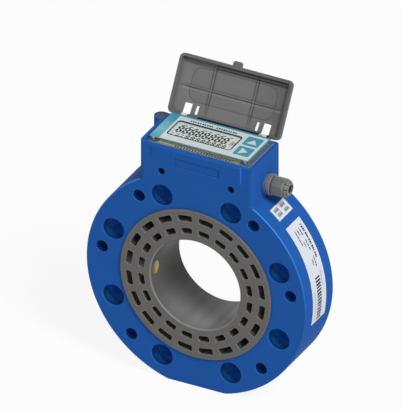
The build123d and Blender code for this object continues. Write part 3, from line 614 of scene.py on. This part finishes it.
def cast_resin():
    """Amber epoxy of the transducer nose, a little cloudy and darker towards the front."""
    paint = Paint("window_epoxy", (0.3, 0.28, 0.03), 0.3, Specular_IOR_Level=0.3)
    low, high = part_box("front_transducer_window")
    middle = (low.y + high.y) / 2 / MM
    [y] = paint.millimetres("Y")
    cloud = paint.noise(3.5, 3.0)
    front = ((middle - y) * 0.3 + 0.1).clipped()
    bright = paint.mix(cloud, (0.28, 0.265, 0.03), (0.42, 0.4, 0.07))
    paint.cover(paint.mix(front, bright, (0.07, 0.07, 0.01)))
    paint.bump(cloud, 0.05)
    return paint


def ceramic():
    """Sintered crystal of a transducer."""
    paint = Paint("crystal_ceramic", (0.62, 0.58, 0.5), 0.6)
    paint.cover(paint.shade(paint.noise(0.3, 3.0), 0.9, 1.08))
    return paint


def sleeve(name, colour):
    """Shrunk sleeve of a cell, glossy with soft wrinkles."""
    paint = Paint(name, colour, 0.25)
    wrinkle = paint.noise(2.5, 3.0)
    paint.cover(paint.shade(wrinkle, 0.9, 1.1))
    paint.bump(wrinkle, 0.08)
    return paint


def finishes():
    """The finish of each material slot in the record."""
    return {
        "blue_paint": powder_coat(),
        "port_cap": moulded("port_cap_plastic", (0.048, 0.062, 0.08), 0.5, 0.9, 0.03, Specular_IOR_Level=0.2),
        "insert_plastic": insert_plastic(),
        "lid_plastic": lid_plastic(),
        "clear_cover": clear_plastic(),
        "inner_plastic": inner_plastic(),
        "board_resin": board(),
        "chip_black": moulded("chip_resin", (0.02, 0.02, 0.022), 0.45, 0.4, 0.02),
        "pin_metal": turned_metal("pin_plating", (0.3, 0.24, 0.1), 0.35, 0.5, "Z"),
        "display_panel": display_panel(),
        "screw_steel": turned_metal("screw_steel", (0.6, 0.6, 0.62), 0.35, 0.5, "Z"),
        "teal_film": teal_film(),
        "teal_key": printed("teal_key_ink", (0.045, 0.28, 0.385)),
        "silver_ink": printed("silver_ink", (0.575, 0.635, 0.64)),
        "dark_ink": printed("dark_ink", (0.006, 0.006, 0.008), 0.7, 0.05),
        "pale_ink": printed("pale_ink", (0.2, 0.36, 0.44)),
        "black_rubber": rubber(),
        "cell_sleeve": sleeve("cell_sleeve_green", (0.04, 0.22, 0.1)),
        "capacitor_sleeve": sleeve("capacitor_sleeve_grey", (0.3, 0.31, 0.33)),
        "gland_collar": gland_collar(),
        "gland_plastic": gland_nut(),
        "label_foil": printed("label_foil", (0.6, 0.635, 0.7), 0.35),
        "window_resin": cast_resin(),
        "crystal_ceramic": ceramic(),
        "capsule_steel": turned_metal("capsule_steel", (0.55, 0.56, 0.58), 0.35, 0.8, "X"),
    }


def dress(finish_of):
    """Every CAD node gets the finish of its slot in the record."""
    for part in frame["record"]["subparts"]:
        for place in cad[part["node"]].material_slots:
            place.material = finish_of[part["material_slot"]].material


# Pieces

def add_object(name, data):
    thing = bpy.data.objects.new(name, data)
    bpy.context.scene.collection.objects.link(thing)
    return thing


def add_piece(name, build, slot, finish_of):
    """Turns a drawn mesh into a piece that rides on the meter, in the finish of that slot."""
    mesh = bpy.data.meshes.new(name)
    build.to_mesh(mesh)
    build.free()
    mesh.materials.append(finish_of[slot].material)
    piece = add_object(name, mesh)
    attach(piece, "meter")


def print_marks(name, outlines, lift, finish_of):
    """A flat piece of dark ink from outlines, which a function lifts onto their surface."""
    build = bmesh.new()
    for outline in outlines:
        build.faces.new([build.verts.new(lift(*point)) for point in outline])
    add_piece(name, build, "dark_ink", finish_of)


def lift_to(height):
    """Lifts (x, y) to a height, which is in metres."""
    return lambda x, y: Vector((x * MM, y * MM, height))


def around_rim(radius):
    """Lifts (angle, y) onto a rim of that radius in metres; the angle runs from the right to the top."""
    def lift(angle, y):
        turn = radians(angle)
        return Vector((radius * cos(turn), y * MM, radius * sin(turn)))
    return lift


# Prints of the display and its film

def bar(x, y, width, height, lean=0.0):
    """A bar from its front left corner, with its rear end moved right by that share of its height."""
    moved = x + height * lean
    return [(x, y), (x + width, y), (moved + width, y + height), (moved, y + height)]


def stroke(x, y, length, thick, upright):
    """One pointed stroke of a digit around its middle."""
    half = length / 2
    tip = thick / 2
    points = [(-half, 0), (-half + tip, tip), (half - tip, tip),
              (half, 0), (half - tip, -tip), (-half + tip, -tip)]
    if upright:
        points = [(-b, a) for a, b in points]
    return [(x + a, y + b) for a, b in points]


def digit(x, y, width, height, thick):
    """A figure eight of seven strokes, leaning to the right."""
    half = height / 2
    gap = thick * digit_gap
    strokes = [stroke(x + width / 2, y + level, width - gap, thick, False) for level in (0, half, height)]
    for side in (0, width):
        for level in (half / 2, half * 1.5):
            strokes.append(stroke(x + side, y + level, half - gap, thick, True))
    return [[(a + (b - y) * digit_lean, b) for a, b in outline] for outline in strokes]


def display_marks():
    """All the digits and small signs of the display, switched on at once."""
    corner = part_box("window_outline")[0] / MM
    left = corner.x + window_line
    front = corner.y + window_line
    marks = []
    for index in range(digit_count):
        x = left + 3.2 + large_digit_pitch * index
        marks += digit(x, front + 7.9, width=3.25, height=9.0, thick=1.75)
        marks.append(bar(x + 4.6, front + 7.4, 0.8, 0.8))
    for index in range(digit_count):
        x = left + 14.6 + small_digit_pitch * index
        marks += digit(x, front + 1.7, width=2.6, height=4.3, thick=1.35)
    for index, width in enumerate((3.84, 2.88, 1.92, 3.36, 2.16, 3.6, 2.64, 3.12)):
        marks.append(bar(left + 5.0 + sign_pitch * index, front + 18.2, width, 1.0))
    marks.append([(left + 3.2, front + 17.8), (left + 4.6, front + 17.8), (left + 3.9, front + 19.4)])
    for index in range(end_stripe_count):
        marks.append(bar(left + 50.2 + end_stripe_pitch * index, front + 8.4, 0.4, 6.0, end_stripe_lean))
    for index, width in enumerate((2.0, 3.4, 2.6)):
        x = left + unit_pitch * index
        marks.append(bar(x + 1.4, front + 2.0, width, 0.9))
        marks.append(bar(x + 2.0, front + 4.6, width * 0.8, 0.9))
    return marks


def heading_marks():
    """A line of small bars behind the display, in two groups, in place of words."""
    low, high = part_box("window_outline")
    left = low.x / MM + 9.0
    front = high.y / MM + 1.4
    first_group = (1.17, 1.43, 1.17, 1.43, 1.04, 1.56, 1.17, 1.3, 1.43, 1.17)
    second_group = (1.3, 1.43, 1.17, 1.56, 1.17, 1.3, 1.04, 1.43, 1.17)
    widths = (*first_group, 0, *second_group)
    return [bar(left + heading_pitch * index, front, width, 2.0) for index, width in enumerate(widths) if width]


# Prints of the labels on the rim: a bar's x is an angle, which falls from the top of a label to its foot

def text_line(start, end, y, height, step, fill):
    """A row of short bars from one angle down to another, the first and every third after it narrower."""
    marks = []
    angle = start
    while angle > end:
        width = step * (fill if len(marks) % 3 else fill * 0.6)
        marks.append(bar(angle, y, -width, height))
        angle -= step
    return marks


def label_marks():
    """Rows of bars and a field of stripes, in place of words and codes."""
    marks = text_line(38.5, 20.5, 5.9, height=2.0, step=1.15, fill=0.8)
    for start, end, y in ((37.5, 33.5, 2.2), (37.5, 35.0, -1.2), (37.5, 29.5, -4.6), (31.5, 25.5, 2.2),
                          (31.0, 28.0, -1.2), (22.5, 17.5, 2.6), (21.5, 19.0, -0.6)):
        marks += text_line(start, end, y, height=1.2, step=0.62, fill=0.85)
    for index in range(code_stripe_count):
        width = 0.85 + 0.12 * (index % 3)
        marks.append(bar(12.4 - code_stripe_pitch * index, -3.4, -width, 7.0))
    for start, end, y in ((14.5, 6.5, 5.6), (6.5, -9.0, -7.6)):
        marks += text_line(start, end, y, height=0.9, step=0.6, fill=0.6)
    return marks


def small_label_marks():
    """Four fields of short bars."""
    marks = []
    for start, y in ((51.6, -8.6), (51.6, 1.4), (49.0, -8.2), (48.8, 2.0)):
        marks += text_line(start, start - 1.7, y, height=6.6, step=0.5, fill=0.6)
    return marks


# Rounded corners of the insert's slots

def slot_corner_outlines():
    """Outlines in (x, z) of what fills the sharp corners of every slot."""
    outlines = []
    for inner, outer, angle in slot_rings:
        for index in range(slots_per_ring):
            middle = 360 / slots_per_ring * (index + 0.5)
            for radius, into_slot in ((inner, 1), (outer, -1)):
                for side in (-1, 1):
                    turn = radians(middle + side * angle / 2)
                    outward = Vector((cos(turn), sin(turn)))
                    across = Vector((sin(turn), -cos(turn))) * side
                    outlines.append(corner_outline(outward * radius, outward * into_slot, across))
    return outlines


def corner_outline(corner, along, across):
    """A corner closed by a round arc between its two sides, whose directions are given."""
    centre = corner + (along + across) * slot_corner_radius
    outline = [corner]
    for step in range(slot_corner_steps + 1):
        turn = pi / 2 * step / slot_corner_steps
        outline.append(centre - (along * cos(turn) + across * sin(turn)) * slot_corner_radius)
    return outline


def round_slots(name, side, finish_of):
    """Little posts down the corners of the slots, from the front face (side -1) or the rear face (side 1)."""
    build = bmesh.new()
    levels = [(insert_face - depth) * side for depth in (slot_corner_recess, slot_corner_depth)]
    for outline in slot_corner_outlines():
        near, far = [[build.verts.new((x * MM, level * MM, z * MM)) for x, z in outline] for level in levels]
        build.faces.new(near)
        build.faces.new(far[::-1])
        for index in range(len(near)):
            build.faces.new((near[index - 1], near[index], far[index], far[index - 1]))
    bmesh.ops.recalc_face_normals(build, faces=build.faces)
    add_piece(name, build, "insert_plastic", finish_of)


def add_details(finish_of):
    """The prints and the rounded slot corners."""
    on_glass = lift_to(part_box("display_glass")[1].z + ink_lift)
    on_film = lift_to(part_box("silver_field")[1].z + ink_lift)
    on_rim = around_rim(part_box("rim_label_large")[1].x + label_ink_lift)
    print_marks("display_digits", display_marks(), on_glass, finish_of)
    print_marks("heading_print", heading_marks(), on_film, finish_of)
    print_marks("large_label_print", label_marks(), on_rim, finish_of)
    round_slots("slot_corners_front", -1, finish_of)
    round_slots("slot_corners_rear", 1, finish_of)
    print_marks("small_label_print", small_label_marks(), on_rim, finish_of)


# Floor, light and camera

def floor():
    """Plain paper under the foot: nearly pure white where it is seen, with the rest left for the shadow."""
    corners = [(-floor_reach, -floor_reach), (floor_reach, -floor_reach),
               (floor_reach, floor_reach), (-floor_reach, floor_reach)]
    mesh = bpy.data.meshes.new("floor")
    mesh.from_pydata([(x, y, cad_box[0].z) for x, y in corners], [], [(0, 1, 2, 3)])
    paint = Paint("floor_paper", (0.78, 0.78, 0.78), 0.9, Specular_IOR_Level=0.0)
    paint.cover(paint.shade(paint.noise(300.0), 0.995, 1.005))
    paper = Signal(paint, paint.shader.outputs[0])
    white = paint.make("ShaderNodeEmission")
    inputs = {0: paint.seen_directly() * white_in_floor, 1: paper, 2: white}
    surface = paint.make("ShaderNodeMixShader", None, inputs)
    paint.put(paint.tree.nodes["Material Output"].inputs["Surface"], surface)
    mesh.materials.append(paint.material)
    add_object("floor", mesh)


def sun(name, towards, strength, softness):
    """A lamp in that direction from the object, with an apparent size in degrees."""
    data = bpy.data.lights.new(name, "SUN")
    data.energy = strength
    data.angle = radians(softness)
    lamp = add_object(name, data)
    lamp.rotation_euler = Vector(towards).to_track_quat("Z", "Y").to_euler()


def light():
    """Soft light from the upper right, and a white world that is dimmer to the object than to the camera."""
    sun("key", (0.6, -0.29, 0.72), strength=2.6, softness=20)
    sun("fill", (-0.7, -0.6, 0.5), strength=0.2, softness=40)
    sun("side", (0.9, -0.3, -0.25), strength=0.35, softness=60)
    world = bpy.data.worlds.new("studio")
    bpy.context.scene.world = world
    world.use_nodes = True
    sky = Nodes(world.node_tree)
    sky.tree.nodes.remove(sky.tree.nodes["Background"])
    white = (1, 1, 1, 1)
    dim, bright = [sky.make("ShaderNodeBackground", None, {"Color": white, "Strength": strength})
                   for strength in (world_on_object, 1.0)]
    surface = sky.make("ShaderNodeMixShader", None, {0: sky.seen_directly(), 1: dim, 2: bright})
    sky.put(sky.tree.nodes["World Output"].inputs["Surface"], surface)
    bpy.context.scene.view_settings.view_transform = "Standard"


def camera():
    """Looks at the casting's front face from the photograph's direction."""
    azimuth = radians(camera_azimuth)
    elevation = radians(camera_elevation)
    right = Vector((cos(azimuth), sin(azimuth), 0))
    back = Vector((sin(azimuth) * cos(elevation), -cos(azimuth) * cos(elevation), sin(elevation)))
    up = back.cross(right)
    front_face = Vector((0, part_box("meter_body")[0].y, 0))
    data = bpy.data.cameras.new("camera")
    data.type = "ORTHO"
    data.ortho_scale = image_height / pixels_per_metre
    seen = add_object("camera", data)
    seen.matrix_world = Matrix((right, up, back)).transposed().to_4x4()
    seen.location = front_face + shift_right * right + shift_up * up + camera_distance * back
    bpy.context.scene.camera = seen


finish_of = finishes()
dress(finish_of)
add_details(finish_of)
floor()
light()
camera()
